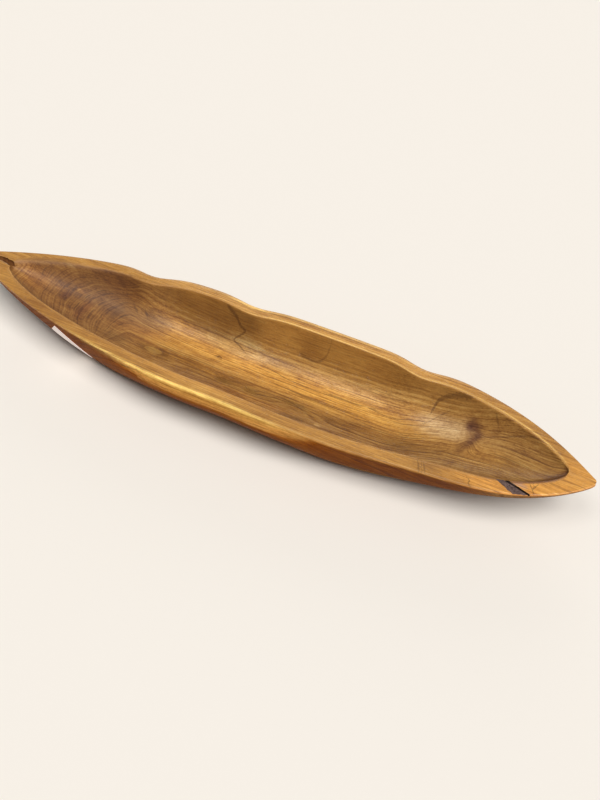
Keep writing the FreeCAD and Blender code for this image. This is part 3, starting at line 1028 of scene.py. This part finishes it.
# The crack along the bark: place along, middle across, half-width, depth
CRACK = (
    (272, -33.2, 0.9, 5),
    (283, -36.4, 0.9, 5),
    (293, -39, 0.8, 4.5),
    (303, -41.7, 0.8, 4),
    (312, -44.4, 0.7, 3),
)
BARK = ((258, -33), (273, -33), (344, -52), (298, -52))
BARK_DEPTH = 0.8
# How far the cutting shapes stand out of the wood
CUTTER_TOP = 4


def grid_faces(rows, columns):
    """Squares of a grid whose points are numbered row by row."""
    width = columns + 1
    starts = [row * width + column for row in range(rows) for column in range(columns)]
    return [(first, first + width, first + width + 1, first + 1) for first in starts]


# A groove's pieces, its noise, and how its sides and lowest line wander, in half-widths
GROOVE_PIECES = 8
GROOVE_NOISE = (2.5, 21)
GROOVE_LEVELS = (0.0, 50.0, 90.0)
GROOVE_SIDES = 0.25
GROOVE_LOWEST = -0.35
GROOVE_LOWEST_WANDER = 0.2
GROOVE_EDGE_DEPTH = 0.2


def groove(name, path, material):
    """A cutter with a V-shaped, uneven bottom along a path."""
    stations = smooth_path(path, GROOVE_PIECES)
    points = []
    for number, (along, across, half, depth) in enumerate(stations):
        ahead = stations[min(number + 1, len(stations) - 1)] - stations[max(number - 1, 0)]
        aside = np.array((-ahead[1], ahead[0])) / math.hypot(ahead[0], ahead[1])
        places = [(along, across, level) for level in GROOVE_LEVELS]
        uneven = noise(places, *GROOVE_NOISE)
        left, right = (half * (1 + GROOVE_SIDES * value) for value in uneven[:2])
        lowest = half * (GROOVE_LOWEST + GROOVE_LOWEST_WANDER * uneven[2])
        for sideways, up in (
            (left, HEIGHT + CUTTER_TOP),
            (left, HEIGHT - GROOVE_EDGE_DEPTH),
            (lowest, HEIGHT - depth),
            (-right, HEIGHT - GROOVE_EDGE_DEPTH),
            (-right, HEIGHT + CUTTER_TOP),
        ):
            points.append((along + aside[0] * sideways, across + aside[1] * sideways, up))
    corners = 5
    last = len(points) - corners
    faces = [tuple(range(corners)), tuple(range(last + corners - 1, last - 1, -1))]
    for first in range(0, last, corners):
        for corner in range(corners):
            here = first + corner
            following = first + (corner + 1) % corners
            faces.append((following, here, here + corners, following + corners))
    return mesh_object(name, points, faces, material)


# A recess's squares, how its outline wanders, and how rough its bottom is
RECESS_COLUMNS = 14
RECESS_ROWS = 30
RECESS_WANDER = (0.5, 0.4)
RECESS_WANDER_NOISE = ((3, 3, 3), 31)
RECESS_ROUGHNESS = 0.6
RECESS_ROUGH_NOISE = ((2.5, 1.2, 1), 32)


def recess(name, corners, depth, material):
    """A cutter with a flat, uneven bottom inside four corners."""
    inner_left, inner_right, outer_right, outer_left = (np.array(corner, float) for corner in corners)
    bottom = []
    for row in range(RECESS_ROWS + 1):
        part = row / RECESS_ROWS
        left = inner_left + (outer_left - inner_left) * part
        right = inner_right + (outer_right - inner_right) * part
        for column in range(RECESS_COLUMNS + 1):
            along, across = left + (right - left) * column / RECESS_COLUMNS
            place = (along, across, 0.0)
            wander = noise(place, *RECESS_WANDER_NOISE)
            rough = noise(place, *RECESS_ROUGH_NOISE)
            along += RECESS_WANDER[0] * wander
            across += RECESS_WANDER[1] * wander
            bottom.append((along, across, HEIGHT - depth * (1 + RECESS_ROUGHNESS * rough)))
    top = [(along, across, HEIGHT + CUTTER_TOP) for along, across, _ in bottom]
    columns, rows, width, layer = RECESS_COLUMNS, RECESS_ROWS, RECESS_COLUMNS + 1, len(bottom)
    faces = []
    for face in grid_faces(rows, columns):
        below = face[1:] + face[:1]
        faces += [below, tuple(index + layer for index in below[::-1])]
    border = [0]
    for step, count in ((1, columns), (width, rows), (-1, columns), (-width, rows - 1)):
        for _ in range(count):
            border.append(border[-1] + step)
    for first, second in zip(border, border[1:] + border[:1]):
        faces.append((first, second, second + layer, first + layer))
    return mesh_object(name, bottom + top, faces, material)


def cut_out(piece, cutter):
    """Takes the cutter's shape out of a piece, with the cutter's material on the new faces."""
    face_outwards(cutter.data)
    piece.data.materials.append(cutter.data.materials[0])
    change = piece.modifiers.new("cut", "BOOLEAN")
    change.operation = "DIFFERENCE"
    change.solver = "EXACT"
    change.object = cutter
    evaluated = piece.evaluated_get(bpy.context.evaluated_depsgraph_get())
    result = bpy.data.meshes.new_from_object(evaluated)
    piece.modifiers.clear()
    piece.data = result
    bpy.data.objects.remove(cutter)


# The blank paper label on the near wall: its corner as place along and distance below the arris
LABEL_CORNER = (-212.5, 9.6)
LABEL_SIZE = (52, 23)
LABEL_TURN = 37
LABEL_LIFT = 0.25
LABEL_THICKNESS = 0.1
LABEL_COLUMNS = 26
LABEL_ROWS = 12
WALL_SAMPLES = 200


def wall_place(along, down, lift):
    """Point at a distance down the near wall from its arris, lifted off the wall."""
    poles = [(np.array(across), np.array(up)) for across, up in wall_poles("near", np.array([along]))]
    across, up = (values.ravel() for values in cubic(poles, np.linspace(1, 0, WALL_SAMPLES)))
    lengths = np.concatenate([[0], np.cumsum(np.hypot(np.diff(across), np.diff(up)))])
    y, z = np.interp(down, lengths, across), np.interp(down, lengths, up)
    ahead = np.interp(down + 1, lengths, across) - y, np.interp(down + 1, lengths, up) - z
    size = math.hypot(*ahead)
    return along, -(y - ahead[1] / size * lift), z + ahead[0] / size * lift


def paper_label():
    material, graph = new_material("paper")
    look = {"Base Color": linear(252, 243, 236), "Roughness": 0.7}
    # The faint glow is painted light, standing in for light bounced onto the label from the floor
    graph.surface({**look, "Emission Color": linear(252, 235, 226), "Emission Strength": 0.5})
    turn = math.radians(LABEL_TURN)
    points = []
    for row in range(LABEL_ROWS + 1):
        for column in range(LABEL_COLUMNS + 1):
            right = LABEL_SIZE[0] * column / LABEL_COLUMNS
            down = LABEL_SIZE[1] * row / LABEL_ROWS
            along = LABEL_CORNER[0] + right * math.cos(turn) - down * math.sin(turn)
            below = LABEL_CORNER[1] + right * math.sin(turn) + down * math.cos(turn)
            points.append(wall_place(along, below, LABEL_LIFT))
    label = mesh_object("label", points, grid_faces(LABEL_ROWS, LABEL_COLUMNS), material)
    thickness = label.modifiers.new("thickness", "SOLIDIFY")
    thickness.thickness = LABEL_THICKNESS * MM
    thickness.offset = 1
    return label


# The floor's colour as it is seen, and as it lights the bowl from below
FLOOR_COLOUR = linear(248, 241, 231)
FLOOR_BOUNCE = linear(128, 120, 110)
FLOOR_REACH = 6000
WORLD_LIGHT = 0.13


def floor_and_world():
    material, graph = new_material("floor")
    rays = graph.add("ShaderNodeLightPath").outputs
    seen = graph.math("MAXIMUM", rays["Is Camera Ray"], rays["Is Glossy Ray"])
    seen = graph.math("MAXIMUM", seen, rays["Is Transmission Ray"])
    graph.surface({"Color": graph.mix(seen, FLOOR_BOUNCE, FLOOR_COLOUR)}, "BsdfDiffuse")
    corners = [(FLOOR_REACH * x, FLOOR_REACH * y, 0) for x, y in ((-1, -1), (1, -1), (1, 1), (-1, 1))]
    floor = mesh_object("floor", corners, [(0, 1, 2, 3)], material)
    world = bpy.data.worlds.new("studio")
    world.use_nodes = True
    world.node_tree.nodes.clear()
    bpy.context.scene.world = world
    graph = Graph(world.node_tree)
    rays = graph.add("ShaderNodeLightPath").outputs
    soft = graph.add("ShaderNodeBackground", {"Color": (1, 1, 1, 1), "Strength": WORLD_LIGHT})
    shown = graph.add("ShaderNodeBackground", {"Color": FLOOR_COLOUR, "Strength": 1.0})
    shaders = {0: rays["Is Camera Ray"], 1: soft.outputs[0], 2: shown.outputs[0]}
    graph.surface(shaders, "MixShader", "OutputWorld")


# Lamps: name, direction to the lamp, strength, angular size in degrees
LAMPS = (
    ("ceiling", (0.5, -0.25, 0.84), 2.55, 34),
    ("window", (-0.12, -0.3, 0.93), 0.5, 24),
    ("back", (-0.3, 0.85, 0.35), 0.35, 30),
)


def lamps():
    for name, direction, strength, spread in LAMPS:
        lamp = bpy.data.lights.new(name, "SUN")
        lamp.energy = strength
        lamp.angle = math.radians(spread)
        turn = Vector(direction).to_track_quat("Z", "Y")
        new_object(name, lamp).rotation_euler = turn.to_euler()


CAMERA_TARGET = (43.7, 14.1, 0)
CAMERA_DISTANCE = 1042.9
CAMERA_AZIMUTH = 27.33
CAMERA_ELEVATION = 48
LENS = 45
SENSOR = 36


def camera():
    turn = math.radians(CAMERA_AZIMUTH)
    lift = math.radians(CAMERA_ELEVATION)
    back = Vector((math.sin(turn) * math.cos(lift), -math.cos(turn) * math.cos(lift), math.sin(lift)))
    right = Vector((math.cos(turn), math.sin(turn), 0))
    above = back.cross(right)
    data = bpy.data.cameras.new("camera")
    data.lens = LENS
    data.sensor_width = SENSOR
    holder = new_object("camera", data)
    place = (Vector(CAMERA_TARGET) + CAMERA_DISTANCE * back) * MM
    axes = Matrix((right, above, back)).transposed()
    holder.matrix_world = Matrix.Translation(place) @ axes.to_4x4()
    bpy.context.scene.camera = holder


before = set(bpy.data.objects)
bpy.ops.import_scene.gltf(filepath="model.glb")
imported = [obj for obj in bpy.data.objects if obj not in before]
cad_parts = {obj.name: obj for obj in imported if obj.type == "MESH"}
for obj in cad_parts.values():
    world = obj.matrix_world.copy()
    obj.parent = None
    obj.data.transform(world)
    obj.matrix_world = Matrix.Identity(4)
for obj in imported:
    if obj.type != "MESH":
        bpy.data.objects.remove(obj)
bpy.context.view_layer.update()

camera()
floor_and_world()
lamps()

bowl = bowl_surface(teak("teak", 0.8, 0.36, True), teak("teak_outside", 0.06, 0.55, False))
bark = flaw_material("bark", linear(62, 48, 44), linear(128, 104, 96), (0.35, 1.4, 1.4))
crack_wood = flaw_material("crack", linear(24, 15, 10), linear(50, 34, 24), (1, 1, 1))
split_wood = flaw_material("split_wood", linear(84, 48, 18), linear(122, 76, 36), (0.2, 0.9, 0.9))
cut_out(bowl, recess("bark_cutter", BARK, BARK_DEPTH, bark))
cut_out(bowl, groove("crack_cutter", CRACK, crack_wood))
cut_out(bowl, groove("split_cutter", SPLIT, split_wood))
mark_wood(bowl)
bowl.data.shade_smooth()
with bpy.context.temp_override(object=bowl, active_object=bowl, selected_objects=[bowl]):
    bpy.ops.object.shade_smooth_by_angle(angle=math.radians(CREASE_ANGLE))
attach(bowl, "root")
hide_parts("bowl")
label = paper_label()
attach(label, "root")

bpy.context.scene.view_settings.view_transform = "Standard"
